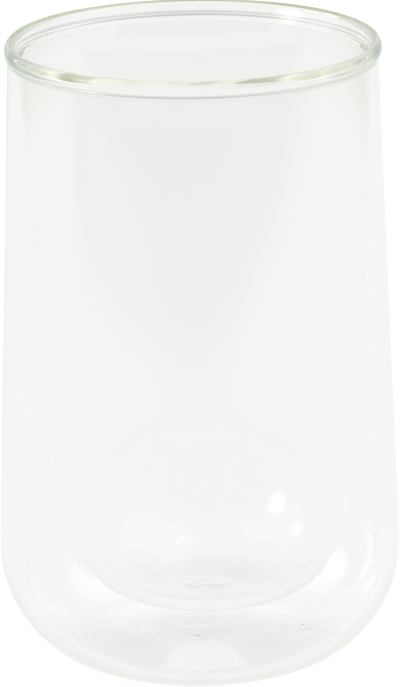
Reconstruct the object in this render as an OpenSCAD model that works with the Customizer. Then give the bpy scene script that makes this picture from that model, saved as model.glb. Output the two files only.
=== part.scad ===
// Double-walled glass tumbler: two blown walls fused into one lip, with a sealed air space
// Millimetres, +Z up, origin at the middle of the base on the table

/* [Outer wall] */
// Height of the cup from the table to the top of the lip
cup_h = 126.4; // [90:0.2:180]
// Diameter where the rounded base runs into the straight wall
belly_d = 80; // [66:0.5:100]
// How much the wall draws in on each side from the belly up to the lip
wall_draw = 3.5; // [0:0.1:6]
// Height of the rounded base below the straight wall
outer_bowl_h = 23.6; // [16:0.2:34]
// Thickness of the outer wall
outer_wall = 1; // [0.8:0.05:1.6]
// Thickness of the outer base
outer_base_wall = 1.6; // [1.2:0.1:2.4]

/* [Foot] */
// Outside diameter of the flat ring that the cup stands on
foot_d = 39.4; // [30:0.2:46]
// Width of that flat ring
foot_ring_w = 4.2; // [2.5:0.1:6]
// Height of the push-up in the middle of the outer base
push_up_h = 2; // [0.5:0.1:3]

/* [Inner cup] */
// Thickness of the inner cup's wall
inner_wall = 1; // [0.8:0.05:1.6]
// Thickness of the inner cup's base
inner_base_wall = 1.4; // [1:0.1:2.2]
// How much the inner cup leans out on each side from the top of its rounded base to the lip
inner_draw = 2.95; // [2:0.05:4]
// How much more it curves out just above its rounded base
belt_draw = 1.35; // [0:0.05:2]
// Air space between the two bases
base_gap = 9.1; // [6:0.1:16]
// Diameter of the flat of the inner cup's base
inner_flat_d = 21.8; // [14:0.2:26]
// Height of the rounded base of the inner cup
inner_bowl_h = 29.3; // [20:0.1:36]

/* [Fused lip] */
// Height of the fused lip above the seam with the two walls
lip_h = 3.9; // [3.2:0.1:5]
// How far the lip stands out past the outer wall
lip_bulge = 0.6; // [0:0.05:0.9]
// Depth of the lip's widest place below its top
lip_bulge_drop = 2; // [1.2:0.1:2.4]
// How far in from its widest place the lip is highest
lip_crest_in = 1.1; // [0.7:0.05:1.6]
// How far the lip's crest rounds over towards the mouth
lip_round = 1.3; // [0.6:0.05:1.6]
// Air space left between the two walls at the seam
seam_gap = 0.5; // [0.3:0.05:0.7]
// Height that the air space still rises into the lip
gap_end_h = 1; // [0.5:0.05:1.5]
// How far the inner cup flares out to reach the seam
flare = 0.4; // [0:0.05:1]
// Height of that flare below the seam
flare_h = 6; // [3:0.5:10]

/* [Closing marks] */
// Diameter of the thick spot where the gather was closed, in the middle of each base
closing_d = 11; // [6:0.5:14]
// Height of that thick spot
closing_h = 0.4; // [0.2:0.1:1]

/* [Vent] */
// Diameter of the vent hole through the outer base
vent_d = 2; // [1.2:0.1:3]
// Distance of the vent hole outside the foot ring
vent_offset = 3; // [2.8:0.1:7]
// Direction of the vent hole round the axis
vent_turn = 13; // [0:1:359]
// Diameter of the glass drop that seals the vent hole
seal_d = 3.4; // [3.2:0.1:4.4]
// Height of the drop inside, over the base
seal_inside_h = 1.4; // [0.8:0.1:2]
// Height of the drop outside, under the base
seal_outside_h = 0.2; // [0.1:0.05:0.3]

/* [Hidden] */

$fn = 180;
// Steps along a round stretch of an outline
steps = 24;
// Exponents that say how square the two rounded bases are
outer_power = 1.85;
inner_power = 2.88;
// Exponent of the curve just above the inner cup's rounded base
belt_power = 4;

belly_r = belly_d / 2;
foot_r = foot_d / 2;
foot_inner_r = foot_r - foot_ring_w;
closing_r = closing_d / 2;
seam_z = cup_h - lip_h;

// The cone of the outer wall, carried down to the table
wall_lean = wall_draw / (seam_z - outer_bowl_h);
cone_r = belly_r + wall_lean * outer_bowl_h;
shoulder_r = belly_r - wall_draw;

// Inside of the outer wall
outer_inside_bowl_h = outer_bowl_h - outer_base_wall;

// Inner cup, from its underside up to the seam
inner_flat_r = inner_flat_d / 2;
inner_z = push_up_h + outer_base_wall + closing_h + base_gap;
inner_h = seam_z - inner_z;
inner_top_r = shoulder_r - outer_wall - seam_gap;
inner_full_r = inner_top_r - flare - inner_draw - belt_draw;

// Lip: its widest place, its highest place, and where the inner cup's inside face meets it
lip_outer_r = shoulder_r + lip_bulge;
lip_outer_z = cup_h - lip_bulge_drop;
lip_crest_r = lip_outer_r - lip_crest_in;
lip_neck_h = (lip_outer_z - seam_z) / 2;
// Share of a quarter round that a curve's handle takes
handle = 0.55;
seam_inner_r = inner_top_r - inner_wall;
seam_lean = inner_draw / (inner_h - inner_bowl_h) + 2 * flare / flare_h;
lip_handle_h = handle * lip_h;

// Vent: its radius, and the height of the outer base's two faces there
vent_r = foot_r + vent_offset;
vent_share = vent_offset / (cone_r - foot_r);
vent_rise = 1 - pow(1 - pow(vent_share, outer_power), 1 / outer_power);
vent_under_z = outer_bowl_h * vent_rise;
vent_over_z = outer_base_wall + outer_inside_bowl_h * vent_rise;

// A rounded base as [share of its sweep outwards, share of its height]
function bowl_shares(power) = [
    for (i = [1 : steps]) let (a = 90 * i / steps)
        [pow(sin(a), 2 / power), 1 - pow(cos(a), 2 / power)]
];

// Smooth mound, 1 in its middle and 0 at its edge
function mound(r, edge_r) = r < edge_r ? (1 + cos(180 * r / edge_r)) / 2 : 0;

function reverse(list) = [for (i = [len(list) - 1 : -1 : 0]) list[i]];

// Base faces from the axis outwards
function outer_base_z(r) = push_up_h * mound(r, foot_inner_r);
outer_underside = [for (i = [0 : steps]) let (r = foot_inner_r * i / steps) [r, outer_base_z(r)]];
outer_floor = [
    for (i = [0 : steps]) let (r = foot_inner_r * i / steps)
        [r, outer_base_z(r) + outer_base_wall + closing_h * mound(r, closing_r)]
];
inner_underside = [
    for (i = [0 : steps]) let (r = closing_r * i / steps)
        [r, inner_z - closing_h * mound(r, closing_r)]
];

// Share of the inner wall's height above its rounded base, below 0 in the rounded base
function wall_share(h) = (h - inner_bowl_h) / (inner_h - inner_bowl_h);

// Radius of the inner cup's outside, in its rounded base and in its wall
function inner_bowl_r(share, h) = inner_flat_r + (inner_full_r - inner_flat_r) * share
    + (inner_draw + belt_power * belt_draw) * wall_share(h) * share;
function inner_wall_r(h) = inner_full_r + inner_draw * wall_share(h)
    + belt_draw * (1 - pow(1 - wall_share(h), belt_power))
    + flare * pow(max(0, (h - inner_h + flare_h) / flare_h), 2);
inner_wall_heights = concat(
    [for (i = [1 : steps]) inner_bowl_h + (inner_h - flare_h - inner_bowl_h) * i / steps],
    [for (i = [1 : steps / 3]) inner_h - flare_h + flare_h * i / (steps / 3)]
);

module outer_outline() {
    bowl = [
        for (s = bowl_shares(outer_power)) let (z = outer_bowl_h * s[1])
            [foot_r + (cone_r - foot_r) * s[0] - wall_lean * z, z]
    ];
    inside_bowl = [
        for (s = bowl_shares(outer_power)) let (z = outer_base_wall + outer_inside_bowl_h * s[1])
            [foot_r + (cone_r - outer_wall - foot_r) * s[0] - wall_lean * z, z]
    ];
    polygon(concat(
        outer_underside, [[foot_r, 0]], bowl,
        [[shoulder_r, seam_z], [shoulder_r - outer_wall, seam_z]],
        reverse(inside_bowl), [[foot_r, outer_base_wall]], reverse(outer_floor)
    ));
}

module outer_shell() color("lightcyan", 0.4) difference() {
    rotate_extrude() outer_outline();
    vent_place() translate([0, 0, -outer_base_wall])
        cylinder(h = vent_over_z + 2 * outer_base_wall, d = vent_d);
}

module inner_outline() {
    bowl = [
        for (s = bowl_shares(inner_power)) let (h = inner_bowl_h * s[1])
            [inner_bowl_r(s[0], h), inner_z + h]
    ];
    inside_bowl = [
        for (s = bowl_shares(inner_power))
            let (h = inner_base_wall + (inner_bowl_h - inner_base_wall) * s[1])
            [inner_bowl_r(s[0], h) - inner_wall * s[0], inner_z + h]
    ];
    wall = [for (h = inner_wall_heights) [inner_wall_r(h), inner_z + h]];
    inside_wall = [for (h = inner_wall_heights) [inner_wall_r(h) - inner_wall, inner_z + h]];
    polygon(concat(
        inner_underside, [[inner_flat_r, inner_z]], bowl, wall,
        reverse(inside_wall), reverse(inside_bowl),
        [[inner_flat_r, inner_z + inner_base_wall], [0, inner_z + inner_base_wall]]
    ));
}

module inner_cup() color("azure", 0.4) rotate_extrude() inner_outline();

// Points along a cubic curve from a to d that sets out towards b and comes in from c, without a itself
function bezier(a, b, c, d) = [
    for (i = [1 : steps / 2]) let (t = i / (steps / 2), s = 1 - t)
        s * s * s * a + 3 * s * s * t * b + 3 * s * t * t * c + t * t * t * d
];

// Both walls run up into the lip. It swells past the outer wall, rounds over its crest and slopes
// down into the mouth, and the air space ends in a round in its underside.
module rim_lip() color("darkseagreen", 0.7) rotate_extrude() {
    foot_out = [shoulder_r, seam_z];
    widest = [lip_outer_r, lip_outer_z];
    crest = [lip_crest_r, cup_h];
    foot_in = [seam_inner_r, seam_z];
    neck = bezier(foot_out, [shoulder_r, seam_z + lip_neck_h], [lip_outer_r, lip_outer_z - lip_neck_h], widest);
    shoulder = bezier(
        widest, [lip_outer_r, lip_outer_z + handle * lip_bulge_drop],
        [lip_crest_r + handle * lip_crest_in, cup_h], crest
    );
    mouth_side = bezier(
        crest, [lip_crest_r - lip_round, cup_h],
        [seam_inner_r + seam_lean * lip_handle_h, seam_z + lip_handle_h], foot_in
    );
    gap_end = [
        for (i = [0 : steps / 2]) let (a = 180 * i / (steps / 2))
            [inner_top_r + seam_gap * (1 - cos(a)) / 2, seam_z + gap_end_h * sin(a)]
    ];
    polygon(concat([foot_out], neck, shoulder, mouth_side, gap_end));
}

module vent_place() rotate([0, 0, vent_turn]) translate([vent_r, 0, 0]) children();

// A drop of glass melted into the vent hole, lying on both faces of the base
module vent_seal() color("mediumseagreen", 0.7) difference() {
    vent_place() rotate_extrude() {
        seal_mid_z = (vent_under_z + vent_over_z) / 2;
        over = vent_over_z + seal_inside_h - seal_mid_z;
        under = seal_mid_z - vent_under_z + seal_outside_h;
        polygon(concat(
            [for (i = [0 : steps / 2]) let (a = 90 * i / (steps / 2))
                [seal_d / 2 * sin(a), seal_mid_z - under * cos(a)]],
            [for (i = [1 : steps / 2]) let (a = 90 * i / (steps / 2))
                [seal_d / 2 * cos(a), seal_mid_z + over * sin(a)]]
        ));
    }
    outer_shell();
}

outer_shell();
inner_cup();
rim_lip();
vent_seal();
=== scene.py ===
import math

import bmesh
import bpy
from mathutils import Matrix, Vector


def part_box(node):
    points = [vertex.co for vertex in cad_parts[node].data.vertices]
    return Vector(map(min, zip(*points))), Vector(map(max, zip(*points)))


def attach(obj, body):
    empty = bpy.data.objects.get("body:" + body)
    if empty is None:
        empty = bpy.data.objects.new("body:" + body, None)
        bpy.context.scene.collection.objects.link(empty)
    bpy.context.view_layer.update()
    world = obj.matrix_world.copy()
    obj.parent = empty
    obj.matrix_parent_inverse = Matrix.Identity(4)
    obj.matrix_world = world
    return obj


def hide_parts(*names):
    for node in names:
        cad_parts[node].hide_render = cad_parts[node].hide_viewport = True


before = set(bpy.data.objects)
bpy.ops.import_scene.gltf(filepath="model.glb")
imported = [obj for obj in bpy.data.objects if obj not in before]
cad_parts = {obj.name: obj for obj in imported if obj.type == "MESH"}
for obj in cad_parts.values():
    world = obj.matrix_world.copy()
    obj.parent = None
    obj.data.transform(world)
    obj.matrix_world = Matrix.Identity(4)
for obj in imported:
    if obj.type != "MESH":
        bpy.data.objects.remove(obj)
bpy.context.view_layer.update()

MM = 0.001

# Sizes of the cup in millimetres. They are those of the solids, except that the push-up and the
# thick spot of the outer base are lower here, and the mouth side of the lip is straighter
OUTER_WALL, OUTER_BASE, PUSH_UP = 1.0, 1.6, 1.0
BELLY_R, WALL_DRAW, OUTER_BOWL_H = 40.0, 3.5, 23.6
FOOT_R, FOOT_RING_W = 19.7, 4.2
INNER_WALL, INNER_BASE = 1.0, 1.4
INNER_FLAT_R, INNER_BOWL_H = 10.9, 29.3
INNER_DRAW, BELT_DRAW = 2.95, 1.35
LIP_BULGE, LIP_BULGE_DROP, LIP_CREST_IN, LIP_ROUND, MOUTH_LEAN = 0.6, 2.0, 1.1, 0.6, 0.45
SEAM_GAP, GAP_END_H, FLARE, FLARE_H = 0.5, 1.0, 0.4, 6.0
CLOSING_R, CLOSING_H, OUTER_CLOSING_H = 5.5, 0.4, 0.12
SEAL_R, SEAL_INSIDE_H, SEAL_OUTSIDE_H = 1.7, 1.4, 0.2
# Powers of the curves: those of the two rounded bases, and that of the inner wall's belt
OUTER_POWER, INNER_POWER, BELT_POWER = 1.85, 2.88, 4
# How long the handles of the lip's curves are, as a share of the way they go
HANDLE = 0.55
# Bubbles of air in the drop: their places from its middle, and their radii
BUBBLES = (((-0.85, -0.1, 0.7), 0.5), ((0.85, 0.1, 0.65), 0.42))

# Heights that the frame gives, and the middle of the drop, in millimetres
CUP_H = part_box("rim_lip")[1].z / MM
SEAM_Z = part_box("rim_lip")[0].z / MM
INNER_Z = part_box("inner_cup")[0].z / MM + CLOSING_H
VENT = (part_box("vent_seal")[0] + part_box("vent_seal")[1]) / 2 / MM

# Sizes that follow from these
WALL_LEAN = WALL_DRAW / (SEAM_Z - OUTER_BOWL_H)
CONE_R = BELLY_R + WALL_LEAN * OUTER_BOWL_H
SHOULDER_R = BELLY_R - WALL_DRAW
INNER_H = SEAM_Z - INNER_Z
INNER_TOP_R = SHOULDER_R - OUTER_WALL - SEAM_GAP
INNER_FULL_R = INNER_TOP_R - FLARE - INNER_DRAW - BELT_DRAW

# How finely the outlines are cut: numbers of steps, and lengths in millimetres
TURNS = 200
BOWL_STEPS, WALL_STEPS, BASE_STEPS, RING_STEPS, LIP_STEPS = 64, 44, 30, 3, 24
SEAL_STEPS, SEAL_TURNS, BUBBLE_STEPS = 40, 60, 24
FINE_R, FINE_STEP, STEP, EASINGS = 11.0, 0.3, 1.0, 6
TINY = 1e-6
# The hair's breadth that keeps fused faces apart
HAIR = 0.01

# The blown cup isn't quite true. Its upright waves: how many go round it, and how high each is
# against the others, which adds up to the sum. Each wanders sideways on its way up, at a pace
# and a place of its own
WAVES = ((2, 1.0), (3, 0.8), (5, 0.6), (8, 0.35), (13, 0.2))
WAVES_SUM = 2.95
WANDER, WANDER_PACE, PACE_SPREAD, PLACE_SPREAD = 0.9, 0.03, 9, 1.7
WAVE_H = 0.05
SHELL_SEEDS, CUP_SEEDS, LIP_SEED = (1.0, 2.3), (3.1, 4.6), 4.0
# They die out near the axis, the seam and the table, and in the lip near its foot
CALM_R, CALM_TOP, CALM_FOOT, CALM_LIP = 12, 8, 4, 1.5
# In the lip they run a little aslant, and change quickly on the way up
LIP_WAVE_SLANT, LIP_WAVE_PACE = 0.12, 9
# The inner wall leans to one side, by this much at its base
INNER_LEAN = 1.5

# Middles of the twisted marks where the two gathers were closed, and their heights
INNER_MARK, OUTER_MARK = (-1.2, -1.3), (-3.4, 2.6)
SWIRL_H, FOLD_H = 0.27, 0.07
# The inner mark is a swirl: the number, twist, share of the seed and height of its folds, where
# they begin and end, and the radius, half width and depth of the ring round them
SWIRL_FOLDS = ((2, 0.7, 1, 1.0), (3, -0.9, 2, 0.4))
SWIRL_EYE_R, SWIRL_R = 1.0, 4.8
SWIRL_RING_R, SWIRL_RING_W, SWIRL_RING_H = 5.3, 1.0, 0.15
# The outer mark is one slanted fold: the way it runs, its half length and half width, how far
# and how quickly it bends, and how uneven it is
FOLD_TURN, FOLD_LONG, FOLD_WIDE = math.radians(-45), 6.5, 1.1
FOLD_BEND, FOLD_BEND_PACE = 0.4, 0.9
FOLD_UNEVEN, FOLD_UNEVEN_PACE = 0.2, 2.3

# The drop set while it ran to one side: number, height and phase of the swells of its outline
DROP_SWELLS = ((2, 0.06, 0.7), (3, 0.05, 1.9))
# Faces this near the middle of the drop are those of its bubbles: share of its radius, height
CORE_SHARE, CORE_H = 0.8, 0.8


def smooth(t):
    """A soft step from 0 to 1, while t goes from 0 to 1."""
    return (1 - math.cos(math.pi * min(1.0, max(0.0, t)))) / 2


def mound(r, edge):
    """A soft mound, 1 high in its middle and flat from its edge outwards."""
    return (1 + math.cos(math.pi * r / edge)) / 2 if r < edge else 0.0


def rounded_base(power):
    """Shares of the sweep outwards and of the height, along a rounded base."""
    for i in range(1, BOWL_STEPS + 1):
        a = math.pi / 2 * i / BOWL_STEPS
        yield math.sin(a) ** (2 / power), 1 - max(math.cos(a), 0.0) ** (2 / power)


def line(a, b, steps):
    """Points from a to b, without a itself."""
    return [
        (a[0] + (b[0] - a[0]) * i / steps, a[1] + (b[1] - a[1]) * i / steps)
        for i in range(1, steps + 1)
    ]


def curve(a, b, c, d):
    """Points along a cubic curve that leaves a towards b and reaches d from c, without a."""
    for i in range(1, LIP_STEPS + 1):
        t = i / LIP_STEPS
        shares = ((1 - t) ** 3, 3 * t * (1 - t) ** 2, 3 * t * t * (1 - t), t ** 3)
        yield tuple(sum(k * p[axis] for k, p in zip(shares, (a, b, c, d))) for axis in (0, 1))


def eased(points):
    """The outline in even steps, finer near the axis, with its joins rounded as by the flame."""
    ends = [0.0]
    for a, b in zip(points, points[1:]):
        ends.append(ends[-1] + math.dist(a, b))
    spaced, at, k = [points[0]], 0.0, 0
    while True:
        at += FINE_STEP if spaced[-1][0] < FINE_R else STEP
        if at > ends[-1] - STEP / 2:
            break
        while ends[k + 1] < at:
            k += 1
        t = (at - ends[k]) / (ends[k + 1] - ends[k])
        spaced.append(tuple(p + (q - p) * t for p, q in zip(points[k], points[k + 1])))
    spaced.append(points[-1])
    for _ in range(EASINGS):
        middle = (0.0, (spaced[0][1] + spaced[1][1]) / 2)
        inner = [
            tuple((p + 2 * q + r) / 4 for p, q, r in zip(*three))
            for three in zip(spaced, spaced[1:], spaced[2:])
        ]
        spaced = [middle] + inner + [points[-1]]
    return spaced


def shell_outline():
    """The outer wall: glass from its underside up to the seam, the seam, and glass back down."""
    foot_inner = FOOT_R - FOOT_RING_W
    radii = [foot_inner * i / BASE_STEPS for i in range(BASE_STEPS + 1)]
    under = [(r, PUSH_UP * mound(r, foot_inner)) for r in radii]
    over = [(r, z + OUTER_BASE + OUTER_CLOSING_H * mound(r, CLOSING_R)) for r, z in under]
    outside, inside = [], []
    for out, up in rounded_base(OUTER_POWER):
        z = OUTER_BOWL_H * up
        outside.append((FOOT_R + (CONE_R - FOOT_R) * out - WALL_LEAN * z, z))
        z = OUTER_BASE + (OUTER_BOWL_H - OUTER_BASE) * up
        inside.append((FOOT_R + (CONE_R - OUTER_WALL - FOOT_R) * out - WALL_LEAN * z, z))
    top_out, top_in = (SHOULDER_R, SEAM_Z), (SHOULDER_R - OUTER_WALL, SEAM_Z)
    ring = line((foot_inner, 0), (FOOT_R, 0), RING_STEPS)
    floor_ring = line((foot_inner, OUTER_BASE), (FOOT_R, OUTER_BASE), RING_STEPS)
    outer = eased(under + ring + outside + line(outside[-1], top_out, WALL_STEPS))
    inner = eased(over + floor_ring + inside + line(inside[-1], top_in, WALL_STEPS))
    return [("glass", outer), ("seam", [top_out, top_in]), ("glass", inner[::-1])]


def wall_share(h):
    """How far up the inner cup's wall a height over its underside lies, as a share."""
    return (h - INNER_BOWL_H) / (INNER_H - INNER_BOWL_H)


def inner_bowl_r(share, h):
    """Radius of the outside of the inner base, from its share outwards and its height."""
    lean = (INNER_DRAW + BELT_POWER * BELT_DRAW) * wall_share(h)
    return INNER_FLAT_R + (INNER_FULL_R - INNER_FLAT_R + lean) * share


def inner_wall_r(h):
    """Radius of the outside of the inner cup's wall, at a height over its underside."""
    belt = BELT_DRAW * (1 - (1 - wall_share(h)) ** BELT_POWER)
    flare = FLARE * max(0.0, (h - INNER_H + FLARE_H) / FLARE_H) ** 2
    return INNER_FULL_R + INNER_DRAW * wall_share(h) + belt + flare


def cup_outline():
    """The inner cup: glass from its underside up to the seam, the seam, and glass back down."""
    radii = [INNER_FLAT_R * i / BASE_STEPS for i in range(BASE_STEPS + 1)]
    under = [(r, INNER_Z - CLOSING_H * mound(r, CLOSING_R)) for r in radii]
    over = [(r, INNER_Z + INNER_BASE) for r in radii]
    for out, up in rounded_base(INNER_POWER):
        h = INNER_BOWL_H * up
        under.append((inner_bowl_r(out, h), INNER_Z + h))
        h = INNER_BASE + (INNER_BOWL_H - INNER_BASE) * up
        over.append((inner_bowl_r(out, h) - INNER_WALL * out, INNER_Z + h))
    wall_top = INNER_H - FLARE_H
    heights = [h for h, _ in line((INNER_BOWL_H, 0), (wall_top, 0), WALL_STEPS)]
    heights += [h for h, _ in line((wall_top, 0), (INNER_H, 0), BASE_STEPS)]
    under += [(inner_wall_r(h), INNER_Z + h) for h in heights]
    over += [(inner_wall_r(h) - INNER_WALL, INNER_Z + h) for h in heights]
    under, over = eased(under), eased(over)
    return [("glass", under), ("seam", [under[-1], over[-1]]), ("glass", over[::-1])]


def lip_outline():
    """The fused lip, a thick upturned U, from the outer seam over the top and down the mouth.

    The last stretches are the inner seam, the round end of the air space, and the outer seam.
    """
    foot, seam_in = SEAM_Z + HAIR, INNER_TOP_R - INNER_WALL
    wide_r, wide_z = SHOULDER_R + LIP_BULGE, CUP_H - LIP_BULGE_DROP
    crest_r, neck = wide_r - LIP_CREST_IN, (wide_z - foot) / 2
    high = HANDLE * (CUP_H - foot)
    start, widest = (SHOULDER_R, foot), (wide_r, wide_z)
    crest, back = (crest_r, CUP_H), (seam_in, foot)
    over_widest = (wide_r, wide_z + HANDLE * LIP_BULGE_DROP)
    outside_crest = (crest_r + HANDLE * LIP_CREST_IN, CUP_H)
    inside_crest = (crest_r - LIP_ROUND, CUP_H)
    points = [start]
    points += curve(start, (SHOULDER_R, foot + neck), (wide_r, wide_z - neck), widest)
    points += curve(widest, over_widest, outside_crest, crest)
    points += curve(crest, inside_crest, (seam_in + MOUTH_LEAN * high, foot + high), back)
    air_r, air_half = INNER_TOP_R + SEAM_GAP / 2, SEAM_GAP / 2
    end = []
    for i in range(LIP_STEPS + 1):
        a = math.pi * i / LIP_STEPS
        end.append((air_r - air_half * math.cos(a), foot + GAP_END_H * math.sin(a)))
    return [("glass", points), ("seam", [back, end[0]]), ("glass", end), ("seam", [end[-1], start])]


def lathe(name, stretches, slots, warp, turns):
    """Turns an outline about Z. Each stretch starts where the last one ends, with a crease."""
    rings, kinds, creases = [stretches[0][1][0]], [], set()
    for kind, points in stretches:
        if points is not stretches[0][1]:
            creases.add(len(rings) - 1)
        rings += points[1:]
        kinds += [kind] * (len(points) - 1)
    loop = math.dist(rings[0], rings[-1]) < TINY
    if loop:
        rings.pop()
        creases.add(0)
    verts, rows = [], []
    for i, (r, z) in enumerate(rings):
        around = turns if r > TINY else 1
        rows.append([len(verts) + k % around for k in range(turns)])
        before, after = rings[i - 1 if loop or i else 0], rings[(i + 1) % len(rings)]
        size = math.dist(before, after)
        normal = ((after[1] - before[1]) / size, (before[0] - after[0]) / size)
        verts += [warp(2 * math.pi * k / turns, r, z, normal) for k in range(around)]
    faces, faces_kind = [], []
    for i, kind in enumerate(kinds):
        low, high = rows[i], rows[(i + 1) % len(rows)]
        for k in range(turns):
            n = (k + 1) % turns
            faces.append(list(dict.fromkeys([low[k], low[n], high[n], high[k]])))
            faces_kind.append(slots[kind])
    mesh = bpy.data.meshes.new(name)
    mesh.from_pydata([[c * MM for c in v] for v in verts], [], faces)
    materials = list(dict.fromkeys(slots.values()))
    for m in materials:
        mesh.materials.append(m)
    mesh.polygons.foreach_set("material_index", [materials.index(m) for m in faces_kind])
    mesh.polygons.foreach_set("use_smooth", [True] * len(faces))
    sharp = {v for i in creases for v in rows[i]}
    for edge in mesh.edges:
        edge.use_edge_sharp = edge.vertices[0] in sharp and edge.vertices[1] in sharp
    mesh.update()
    piece = bpy.data.objects.new(name, mesh)
    bpy.context.scene.collection.objects.link(piece)
    return piece


def ripples(a, z, seed):
    """Soft upright waves left by drawing the hot glass, from -1 to 1."""
    total = 0.0
    for count, size in WAVES:
        pace = WANDER_PACE * z * (1 + count / PACE_SPREAD)
        phase = seed * (PLACE_SPREAD + count) + WANDER * math.sin(pace + seed + count)
        total += size * math.sin(count * a + phase)
    return total / WAVES_SUM


def swirl(x, y, seed):
    """Height of the inner mark, from -1 to 1, by the place from its middle."""
    r, a = math.hypot(x, y), math.atan2(y, x)
    folds = 0.0
    for count, twist, share, size in SWIRL_FOLDS:
        folds += size * math.sin(count * a + twist * r + share * seed)
    ring = SWIRL_RING_H * math.exp(-(((r - SWIRL_RING_R) / SWIRL_RING_W) ** 2))
    return folds * mound(r, SWIRL_R) * smooth(r / SWIRL_EYE_R) - ring


def slanted_fold(x, y, seed):
    """Height of the outer mark, from 0 to 1, by the place from its middle."""
    along = x * math.cos(FOLD_TURN) + y * math.sin(FOLD_TURN)
    bend = FOLD_BEND * math.sin(FOLD_BEND_PACE * along + seed)
    across = y * math.cos(FOLD_TURN) - x * math.sin(FOLD_TURN) + bend
    uneven = 1 - FOLD_UNEVEN + FOLD_UNEVEN * math.sin(FOLD_UNEVEN_PACE * along)
    return mound(abs(along), FOLD_LONG) * math.exp(-((across / FOLD_WIDE) ** 2)) * uneven


def wall_warp(seeds, lean, mark, mark_form, mark_h):
    """How a wall strays from the true lathe form: its waves, its lean, and the mark in its base.

    The first seed is for its outside and the mark, and the second for its inside.
    """

    def warp(a, r, z, normal):
        below = SEAM_Z - z
        out = normal[0] > normal[1]
        calm = min(1.0, r / CALM_R) * smooth(below / CALM_TOP)
        w = WAVE_H * calm * ripples(a, z, seeds[0] if out else seeds[1])
        x, y = (r + w * normal[0]) * math.cos(a), (r + w * normal[0]) * math.sin(a)
        z += w * normal[1] * min(1.0, z / CALM_FOOT)
        if out and r < FINE_R:
            z += mark_h * mark_form(x - mark[0], y - mark[1], seeds[0])
        return x + lean * max(0.0, below) / INNER_H, y, max(z, 0.0)

    return warp


def lip_warp(a, r, z, normal):
    """The lip swells and thins a little on its way round, and is true at the seam."""
    calm = smooth((z - SEAM_Z - HAIR) / CALM_LIP)
    slant = LIP_WAVE_SLANT * (r - SHOULDER_R)
    w = WAVE_H * calm * ripples(a + slant, LIP_WAVE_PACE * z, LIP_SEED)
    x, y = (r + w * normal[0]) * math.cos(a), (r + w * normal[0]) * math.sin(a)
    return x, y, min(CUP_H, z + w * normal[1])


def base_faces(r):
    """Heights of the two faces of the outer base, outside its foot ring."""
    share = max(0.0, r - FOOT_R) / (CONE_R - FOOT_R)
    rise = 1 - (1 - share ** OUTER_POWER) ** (1 / OUTER_POWER)
    return OUTER_BOWL_H * rise, OUTER_BASE + (OUTER_BOWL_H - OUTER_BASE) * rise


def drop(name, grow, slots):
    """The drop of glass that is melted into the vent hole, domed inside and outside the base."""
    under, over = base_faces(math.hypot(VENT.x, VENT.y))
    middle = (under + over) / 2
    up, down = over - middle + SEAL_INSIDE_H, middle - under + SEAL_OUTSIDE_H
    outline = []
    for i in range(SEAL_STEPS + 1):
        a = math.pi * i / SEAL_STEPS
        wide = (SEAL_R + grow) * math.sin(a) if i < SEAL_STEPS else 0.0
        high = (down if i < SEAL_STEPS / 2 else up) + grow
        outline.append((wide, middle - high * math.cos(a)))

    def put(a, r, z, normal):
        swell = 1.0
        for count, size, phase in DROP_SWELLS:
            swell += size * math.sin(count * a + phase)
        return VENT.x + r * swell * math.cos(a), VENT.y + r * swell * math.sin(a), z

    return lathe(name, [("seam", outline)], slots, put, SEAL_TURNS)


def open_vent(shell, material):
    """Cuts the room for the drop out of the base, with its fused face."""
    cutter = drop("vent_cutter", HAIR, {"seam": material})
    cut = shell.modifiers.new("vent", "BOOLEAN")
    cut.operation, cut.solver, cut.object = "DIFFERENCE", "EXACT", cutter
    cut.material_mode = "TRANSFER"
    bpy.context.view_layer.update()
    graph = bpy.context.evaluated_depsgraph_get()
    mesh = bpy.data.meshes.new_from_object(
        shell.evaluated_get(graph), preserve_all_data_layers=True, depsgraph=graph
    )
    shell.modifiers.clear()
    shell.data = mesh
    bpy.data.objects.remove(cutter)


def bubble(place, radius, material):
    """A bubble of air inside the drop: a ball whose faces look inwards."""
    half_turn = [math.pi * i / BUBBLE_STEPS for i in range(BUBBLE_STEPS + 1)]
    outline = [(radius * math.sin(a), radius * math.cos(a)) for a in half_turn]
    outline[0], outline[-1] = (0.0, radius), (0.0, -radius)

    def put(a, r, z, normal):
        x, y = place[0] + r * math.cos(a), place[1] + r * math.sin(a)
        return VENT.x + x, VENT.y + y, VENT.z + place[2] + z

    return lathe("bubble", [("glass", outline)], {"glass": material}, put, BUBBLE_STEPS)


def make_seal(glass, seam):
    """The drop in the vent with its bubbles: glass outside the base, and fused inside it."""
    seal = drop("vent_seal_glass", 0.0, {"seam": glass})
    whole = bmesh.new()
    whole.from_mesh(seal.data)
    for place, radius in BUBBLES:
        ball = bubble(place, radius, glass)
        whole.from_mesh(ball.data)
        bpy.data.objects.remove(ball)
    whole.to_mesh(seal.data)
    whole.free()
    seal.data.materials.append(seam)
    for face in seal.data.polygons:
        x, y, z = (c / MM for c in face.center)
        under, over = base_faces(math.hypot(x, y))
        near = math.dist((x, y), (VENT.x, VENT.y)) < CORE_SHARE * SEAL_R
        if under < z < over and not (near and abs(z - VENT.z) < CORE_H):
            face.material_index = 1
    return seal


def nodes_of(owner):
    """The empty node tree of a material or a world."""
    owner.use_nodes = True
    tree = owner.node_tree
    tree.nodes.clear()
    return tree


def add(tree, kind, inputs=(), **settings):
    """A node with its settings and its inputs, by number or name. Sockets are linked."""
    node = tree.nodes.new(kind)
    for key, value in settings.items():
        setattr(node, key, value)
    for key, value in dict(inputs).items():
        if isinstance(value, bpy.types.NodeSocket):
            tree.links.new(value, node.inputs[key])
        else:
            node.inputs[key].default_value = value
    return node


def maths(tree, operation, *values, **settings):
    """The result of a sum with numbers."""
    inputs = dict(enumerate(values))
    return add(tree, "ShaderNodeMath", inputs, operation=operation, **settings).outputs[0]


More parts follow.
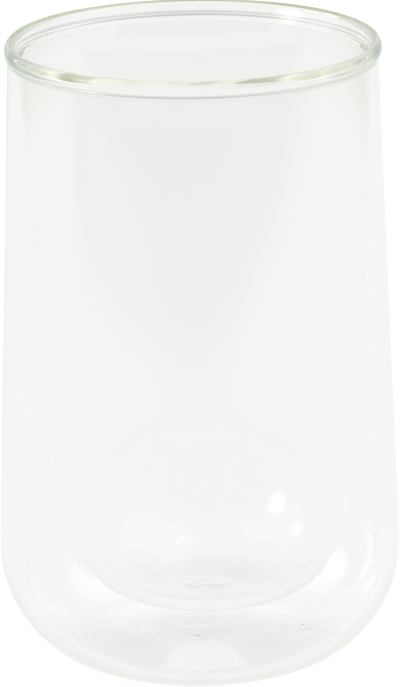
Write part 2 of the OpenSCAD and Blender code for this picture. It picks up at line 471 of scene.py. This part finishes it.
def vector_maths(tree, operation, *values, result="Value"):
    """The result of a sum with vectors, a number unless the result "Vector" is asked for."""
    inputs = dict(enumerate(values))
    return add(tree, "ShaderNodeVectorMath", inputs, operation=operation).outputs[result]


def fade(tree, value, start, end, low, high):
    """A soft step from low to high, while the value goes from start to end."""
    limits = {"Value": value, "From Min": start, "From Max": end, "To Min": low, "To Max": high}
    return add(tree, "ShaderNodeMapRange", limits, interpolation_type="SMOOTHSTEP").outputs[0]


def blend(tree, share, low, high):
    """The colour that goes from low to high with the share."""
    inputs = {"Factor": share, 6: low, 7: high}
    return add(tree, "ShaderNodeMix", inputs, data_type="RGBA").outputs[2]


def show(tree, kind, share, first, second):
    """Sends two shaders, mixed by the share, to the output node of this kind."""
    mix = add(tree, "ShaderNodeMixShader", {0: share, 1: first.outputs[0], 2: second.outputs[0]})
    add(tree, kind, {"Surface": mix.outputs[0]})


WHITE = (1, 1, 1, 1)
GLASS_IOR = 1.47
# What is left of red, green and blue after this many metres of glass
GLASS_DEPTH = 0.1
WALL_LEFT, LIP_LEFT, SEAL_LEFT = (0.97, 0.98, 0.95), (0.72, 0.8, 0.62), (0.04, 0.08, 0.02)
SHADOW_TINT = (0.975, 0.98, 0.975, 1)
# Small waves of the skin: their size and height in metres. They are drawn out upwards
WALL_SKIN, LIP_SKIN, SEAL_SKIN = (0.018, 0.00003), (0.012, 0.00002), (0.002, 0.0001)
SKIN_DRAWN, SKIN_NOISE = (1, 1, 0.35), {"Detail": 2.0, "Roughness": 0.45}
# Light that is caught inside the glass is followed through this many faces, and then the glass
# shows a painted glow in its place: a pale grey, or green where it is caught above these heights
FOLLOWED = 9.0
PAINTED_GLOW_WALL = (0.84, 0.84, 0.82, 1)
GREEN_HIGH_UP, GREEN_ALL_OVER = (98 * MM, 112 * MM), (-2 * MM, -1 * MM)
# The painted green glow is pale with patches of painted shade, and turns bluer this far to the
# sides
PAINTED_GLOW_PALE, PAINTED_GLOW_DARK = (0.87, 0.89, 0.76, 1), (0.5, 0.52, 0.38, 1)
PAINTED_GLOW_END, END_X = (0.43, 0.52, 0.43, 1), (24 * MM, 35 * MM)
# The patches of painted shade in the glow: degrees round from the front, half widths, and how
# dark. Each keeps that over the first of the two shares of its half width, and ends at the second
PAINTED_SHADE_PATCHES = (
    (-57, 6, 0.6),
    (-38, 7, 0.85),
    (6.5, 3.2, 0.4),
    (26, 7.5, 1.0),
    (44, 6, 0.45),
    (57, 7, 0.35),
)
PATCH_CORE, PATCH_END = 0.6, 1.4
# From here on round the back the glow is painted dark everywhere
BACK_TURN, BACK_PAINTED_SHADE = (math.radians(58), math.radians(70)), 0.85
# The patches are drawn out aslant: how far round, from the inner edge of the seam to the outer
SLANT, SLANT_R = (math.radians(-13), math.radians(5)), (33.8 * MM, 36.6 * MM)
# Fine streaks that make them uneven: their noise, and how far they change the darkness
STREAK_DRAWN = (1, 1, 0.15)
STREAK_NOISE = {"Scale": 90.0, "Detail": 2.0, "Roughness": 0.55, "Distortion": 0.3}
STREAK_LIMITS, STRAY = (0.35, 0.65), 0.18


def painted_shade_share(tree, where, split):
    """How dark the painted green glow is, by painted shade: in patches near the front, and all
    round the back.
    """
    ahead = maths(tree, "MULTIPLY", split.outputs["Y"], -1.0)
    turn = maths(tree, "ARCTAN2", split.outputs["X"], ahead)
    level = vector_maths(tree, "MULTIPLY", where, (1, 1, 0), result="Vector")
    radius = vector_maths(tree, "LENGTH", level)
    turn = maths(tree, "ADD", turn, fade(tree, radius, *SLANT_R, *SLANT))
    share = fade(tree, maths(tree, "ABSOLUTE", turn), *BACK_TURN, 0.0, BACK_PAINTED_SHADE)
    for middle, half, most in PAINTED_SHADE_PATCHES:
        off = maths(tree, "ABSOLUTE", maths(tree, "SUBTRACT", turn, math.radians(middle)))
        core, end = math.radians(PATCH_CORE * half), math.radians(PATCH_END * half)
        share = maths(tree, "MAXIMUM", share, fade(tree, off, core, end, most, 0.0))
    drawn = add(tree, "ShaderNodeMapping", {"Vector": where, "Scale": STREAK_DRAWN})
    streaks = add(tree, "ShaderNodeTexNoise", {"Vector": drawn.outputs[0], **STREAK_NOISE})
    stray = fade(tree, streaks.outputs["Fac"], *STREAK_LIMITS, -STRAY, STRAY)
    return maths(tree, "ADD", share, stray, use_clamp=True)


def painted_green_glow(tree, where, split):
    """A painted glow for light that has gone a long way inside the lip: pale green, with its
    patches of painted shade.
    """
    aside = maths(tree, "ABSOLUTE", split.outputs["X"])
    dark = blend(tree, fade(tree, aside, *END_X, 0.0, 1.0), PAINTED_GLOW_DARK, PAINTED_GLOW_END)
    return blend(tree, painted_shade_share(tree, where, split), PAINTED_GLOW_PALE, dark)


def glass_material(name, left_over, skin, green_heights):
    """Clear glass with a green tint over a long way inside it. It lets the lamps through."""
    material = bpy.data.materials.new(name)
    tree = nodes_of(material)
    path = add(tree, "ShaderNodeLightPath")
    depth = maths(tree, "DIVIDE", path.outputs["Ray Length"], GLASS_DEPTH)
    left = {i: maths(tree, "POWER", share, depth) for i, share in enumerate(left_over)}
    inside = add(tree, "ShaderNodeCombineColor", left)
    side = add(tree, "ShaderNodeNewGeometry")
    colour = blend(tree, side.outputs["Backfacing"], WHITE, inside.outputs[0])
    where = add(tree, "ShaderNodeTexCoord").outputs["Object"]
    size, height = skin
    drawn = add(tree, "ShaderNodeMapping", {"Vector": where, "Scale": SKIN_DRAWN})
    waves = {"Vector": drawn.outputs[0], "Scale": 1 / size, **SKIN_NOISE}
    noise = add(tree, "ShaderNodeTexNoise", waves)
    skin_bump = {"Strength": 1.0, "Distance": height, "Height": noise.outputs["Fac"]}
    bump = add(tree, "ShaderNodeBump", skin_bump)
    clear = {"Color": colour, "Roughness": 0.0, "IOR": GLASS_IOR, "Normal": bump.outputs[0]}
    glass = add(tree, "ShaderNodeBsdfGlass", clear)
    split = add(tree, "ShaderNodeSeparateXYZ", {0: where})
    high = fade(tree, split.outputs["Z"], *green_heights, 0.0, 1.0)
    # A painted glow that the glass shows once light has been followed through too many faces: grey
    # low down, green with painted shade higher up
    painted_glow_colour = blend(tree, high, PAINTED_GLOW_WALL, painted_green_glow(tree, where, split))
    painted_glow = add(tree, "ShaderNodeEmission", {"Color": painted_glow_colour})
    too_far = maths(tree, "GREATER_THAN", path.outputs["Ray Depth"], FOLLOWED)
    seen = add(tree, "ShaderNodeMixShader", {0: too_far, 1: glass.outputs[0], 2: painted_glow.outputs[0]})
    through = add(tree, "ShaderNodeBsdfTransparent", {"Color": SHADOW_TINT})
    show(tree, "ShaderNodeOutputMaterial", path.outputs["Is Shadow Ray"], seen, through)
    return material


def seam_material():
    """The face where two pieces of glass are melted together, which light crosses unbent."""
    material = bpy.data.materials.new("fused_seam")
    tree = nodes_of(material)
    through = add(tree, "ShaderNodeBsdfTransparent")
    add(tree, "ShaderNodeOutputMaterial", {"Surface": through.outputs[0]})
    return material


def lip_seam_material():
    """The seam under the lip. Reflected rays that reach it show a painted green glow for what the
    lip mirrors down into the walls.
    """
    material = bpy.data.materials.new("lip_seam")
    tree = nodes_of(material)
    where = add(tree, "ShaderNodeTexCoord").outputs["Object"]
    split = add(tree, "ShaderNodeSeparateXYZ", {0: where})
    path, through = add(tree, "ShaderNodeLightPath"), add(tree, "ShaderNodeBsdfTransparent")
    # Reflected rays see a painted green glow here
    painted_green_seam_glow = add(tree, "ShaderNodeEmission", {"Color": painted_green_glow(tree, where, split)})
    show(tree, "ShaderNodeOutputMaterial", path.outputs["Is Reflection Ray"], through, painted_green_seam_glow)
    return material


WALL_GLASS = glass_material("wall_glass", WALL_LEFT, WALL_SKIN, GREEN_HIGH_UP)
LIP_GLASS = glass_material("lip_glass", LIP_LEFT, LIP_SKIN, GREEN_HIGH_UP)
SEAL_GLASS = glass_material("seal_glass", SEAL_LEFT, SEAL_SKIN, GREEN_ALL_OVER)
SEAM, LIP_SEAM = seam_material(), lip_seam_material()

wall_slots, lip_slots = {"glass": WALL_GLASS, "seam": SEAM}, {"glass": LIP_GLASS, "seam": LIP_SEAM}
shell_warp = wall_warp(SHELL_SEEDS, 0.0, OUTER_MARK, slanted_fold, FOLD_H)
cup_warp = wall_warp(CUP_SEEDS, INNER_LEAN, INNER_MARK, swirl, SWIRL_H)
shell = lathe("outer_shell_glass", shell_outline(), wall_slots, shell_warp, TURNS)
cup = lathe("inner_cup_glass", cup_outline(), wall_slots, cup_warp, TURNS)
lip = lathe("rim_lip_glass", lip_outline(), lip_slots, lip_warp, TURNS)
open_vent(shell, SEAM)
seal = make_seal(SEAL_GLASS, SEAM)
for piece, node, slot in (
    (shell, "outer_shell", "wall_glass"),
    (cup, "inner_cup", "wall_glass"),
    (lip, "rim_lip", "lip_glass"),
    (seal, "vent_seal", "seal_glass"),
):
    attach(piece, "root")
    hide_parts(node)

# The camera stands as the photograph's did. Its distance, height and lean were fitted
IMAGE_W, IMAGE_H = 400, 687
CAMERA_DISTANCE = 1.3
CAMERA_ELEVATION = math.radians(15.756)
CAMERA_LEAN = math.radians(0.84)
PIXELS_PER_METRE = 5030
SENSOR_WIDTH = 36.0
CLIP_NEAR, CLIP_FAR = 0.05, 50
LOOK_AT = Vector((0, 0, 0.062))
# Where that point shows in the photograph, in its pixels
LOOK_AT_PIXEL = (197.2, 355.0)

# The photographer's tent, as the glass shows it: a round white floor, and a darker opening at
# the front, past its edge. Levels are strengths of light, and lengths are in metres
ROOM_TINT = (1.0, 1.0, 0.985, 1)
TENT_LEVEL, SWEEP_LEVEL, FRONT_LEVEL, FAR_LEVEL = 0.9, 0.92, 0.38, 0.85
BACK_LEVEL, DIM_LEVEL = 0.68, 0.5
SWEEP_MIDDLE, SWEEP_RADIUS, SWEEP_SOFT = (0.11, 0.39, 0), 0.785, 0.08
# The front is lighter again far out, this much past the edge of the sweep
FAR_FROM, FAR_TO = 0.45, 0.7
# The front ends between the first two of these places along Y, and the dimmer back begins
# between the last two
FRONT_Y, BACK_Y = (-0.2, -0.08), (0.45, 0.95)
# A painted pool of light on the floor under the base, for the light that the base gathers there.
# It ends at this many of its radii
PAINTED_POOL_MIDDLE, PAINTED_POOL_RADIUS, PAINTED_POOL_SOFT, PAINTED_POOL_LEVEL = (0, 0.016, 0), 0.014, 1.6, 0.06
# The opening as a share of its half width and half height: where its edge begins and ends
OPENING_WIDTH, OPENING_HEIGHT = math.tan(math.radians(52)), math.tan(math.radians(36))
OPENING_EDGE = (0.9, 1.15)
LEAST_AHEAD = 0.001
# Lit panels of the tent: degrees to the right, degrees up, inner and outer half angle, strength.
# The last is a dim place behind the cup
PANELS = (
    (88, 54, 10, 37, 1.1),
    (-93, 40, 8, 34, 1.0),
    (-67.3, 21.5, 1.5, 10, 2.6),
    (-73.3, 18.5, 1.5, 10, 2.6),
    (-107.2, 24.2, 1, 8.5, 2.2),
    (180, 17, 7, 28, DIM_LEVEL - TENT_LEVEL),
)

# The floor as the camera sees it: its half size, its colour, and its own light, which make white
FLOOR_HALF, FLOOR_COLOUR, FLOOR_LIGHT = 4.0, (0.2, 0.2, 0.2, 1), 0.86
LAMP_PLACE, LAMP_SIZE, LAMP_POWER = (-0.3, -0.2, 1.4), 1.2, 3
# How many faces light is followed through or off: the glass has many of them in a row
BOUNCES = 24


def make_camera():
    """The photograph's camera, turned so that the middle of the cup shows where it did."""
    data = bpy.data.cameras.new("camera")
    data.sensor_fit = "AUTO"
    data.sensor_width = SENSOR_WIDTH
    pixels = PIXELS_PER_METRE * CAMERA_DISTANCE
    data.lens = pixels * data.sensor_width / IMAGE_H
    data.clip_start, data.clip_end = CLIP_NEAR, CLIP_FAR
    camera = bpy.data.objects.new("camera", data)
    bpy.context.scene.collection.objects.link(camera)
    back = Vector((0, -math.cos(CAMERA_ELEVATION), math.sin(CAMERA_ELEVATION)))
    turn = (-back).to_track_quat("-Z", "Y").to_matrix() @ Matrix.Rotation(-CAMERA_LEAN, 3, "Z")
    across = (LOOK_AT_PIXEL[0] - IMAGE_W / 2) / pixels
    down = (LOOK_AT_PIXEL[1] - IMAGE_H / 2) / pixels
    aim = turn @ Matrix.Rotation(across, 3, "Y") @ Matrix.Rotation(down, 3, "X")
    camera.matrix_world = Matrix.Translation(LOOK_AT + back * CAMERA_DISTANCE) @ aim.to_4x4()
    bpy.context.scene.camera = camera


def make_floor():
    """The floor: white to the camera, and in the glass a white sweep in a darker room, with a
    painted pool of light under the cup.
    """
    mesh = bpy.data.meshes.new("floor")
    corners = [(-FLOOR_HALF, -FLOOR_HALF, 0), (FLOOR_HALF, -FLOOR_HALF, 0)]
    corners += [(FLOOR_HALF, FLOOR_HALF, 0), (-FLOOR_HALF, FLOOR_HALF, 0)]
    mesh.from_pydata(corners, [], [(0, 1, 2, 3)])
    floor = bpy.data.objects.new("floor", mesh)
    bpy.context.scene.collection.objects.link(floor)
    material = bpy.data.materials.new("floor")
    tree = nodes_of(material)
    lit = add(tree, "ShaderNodeBsdfDiffuse", {"Color": FLOOR_COLOUR})
    light = add(tree, "ShaderNodeEmission", {"Color": WHITE, "Strength": FLOOR_LIGHT})
    white = add(tree, "ShaderNodeAddShader", {0: lit.outputs[0], 1: light.outputs[0]})
    place = add(tree, "ShaderNodeNewGeometry").outputs["Position"]
    reach = vector_maths(tree, "DISTANCE", place, SWEEP_MIDDLE)
    sweep_edge = SWEEP_RADIUS - SWEEP_SOFT, SWEEP_RADIUS + SWEEP_SOFT
    far_edge = SWEEP_RADIUS + FAR_FROM, SWEEP_RADIUS + FAR_TO
    near = fade(tree, reach, *sweep_edge, SWEEP_LEVEL, FRONT_LEVEL)
    far = fade(tree, reach, *far_edge, 0.0, FAR_LEVEL - FRONT_LEVEL)
    y = add(tree, "ShaderNodeSeparateXYZ", {0: place}).outputs["Y"]
    levels = {
        "Factor": fade(tree, y, *FRONT_Y, 0.0, 1.0),
        "A": maths(tree, "ADD", near, far),
        "B": fade(tree, y, *BACK_Y, SWEEP_LEVEL, BACK_LEVEL),
    }
    level = add(tree, "ShaderNodeMix", levels)
    # A painted pool of light under the base, as the glass sees the floor
    under = vector_maths(tree, "DISTANCE", place, PAINTED_POOL_MIDDLE)
    painted_pool = fade(tree, under, PAINTED_POOL_RADIUS, PAINTED_POOL_SOFT * PAINTED_POOL_RADIUS, PAINTED_POOL_LEVEL, 0.0)
    strength = maths(tree, "ADD", level.outputs[0], painted_pool)
    in_glass = add(tree, "ShaderNodeEmission", {"Color": ROOM_TINT, "Strength": strength})
    path = add(tree, "ShaderNodeLightPath")
    show(tree, "ShaderNodeOutputMaterial", path.outputs["Is Camera Ray"], in_glass, white)
    mesh.materials.append(material)


def towards(turn, rise):
    """The direction this many degrees to the right of the front, and above the horizon."""
    turn, rise = math.radians(turn), math.radians(rise)
    return (math.sin(turn) * math.cos(rise), -math.cos(turn) * math.cos(rise), math.sin(rise))


def make_world():
    """The tent round the cup. The camera sees plain white where it looks past the floor."""
    world = bpy.data.worlds.new("studio")
    bpy.context.scene.world = world
    tree = nodes_of(world)
    way = add(tree, "ShaderNodeTexCoord").outputs["Generated"]
    split = add(tree, "ShaderNodeSeparateXYZ", {0: way})
    ahead = maths(tree, "MULTIPLY", split.outputs["Y"], -1.0)
    ahead = maths(tree, "MAXIMUM", ahead, LEAST_AHEAD)
    squeeze = (1 / OPENING_WIDTH, 0, 1 / OPENING_HEIGHT)
    across = vector_maths(tree, "MULTIPLY", way, squeeze, result="Vector")
    off = maths(tree, "DIVIDE", vector_maths(tree, "LENGTH", across), ahead)
    level = fade(tree, off, *OPENING_EDGE, FRONT_LEVEL, TENT_LEVEL)
    for turn, rise, inner, outer, strength in PANELS:
        near = vector_maths(tree, "DOT_PRODUCT", way, towards(turn, rise))
        limits = math.cos(math.radians(outer)), math.cos(math.radians(inner))
        level = maths(tree, "ADD", level, fade(tree, near, *limits, 0.0, strength))
    tent = add(tree, "ShaderNodeBackground", {"Color": ROOM_TINT, "Strength": level})
    white = add(tree, "ShaderNodeBackground", {"Color": WHITE, "Strength": 1.0})
    path = add(tree, "ShaderNodeLightPath")
    show(tree, "ShaderNodeOutputWorld", path.outputs["Is Camera Ray"], tent, white)


def make_lamp():
    """A softbox above the cup. The glass doesn't show it."""
    data = bpy.data.lights.new("softbox_above", "AREA")
    data.shape = "RECTANGLE"
    data.size, data.size_y = LAMP_SIZE, LAMP_SIZE
    data.energy = LAMP_POWER
    lamp = bpy.data.objects.new("softbox_above", data)
    bpy.context.scene.collection.objects.link(lamp)
    lamp.location = LAMP_PLACE
    lamp.rotation_euler = (LOOK_AT - Vector(LAMP_PLACE)).to_track_quat("-Z", "Y").to_euler()
    lamp.visible_glossy = lamp.visible_transmission = False


make_camera()
make_floor()
make_world()
make_lamp()

scene = bpy.context.scene
scene.view_settings.view_transform = "Standard"
scene.cycles.max_bounces = BOUNCES
scene.cycles.glossy_bounces = BOUNCES
scene.cycles.transmission_bounces = BOUNCES
scene.cycles.transparent_max_bounces = BOUNCES
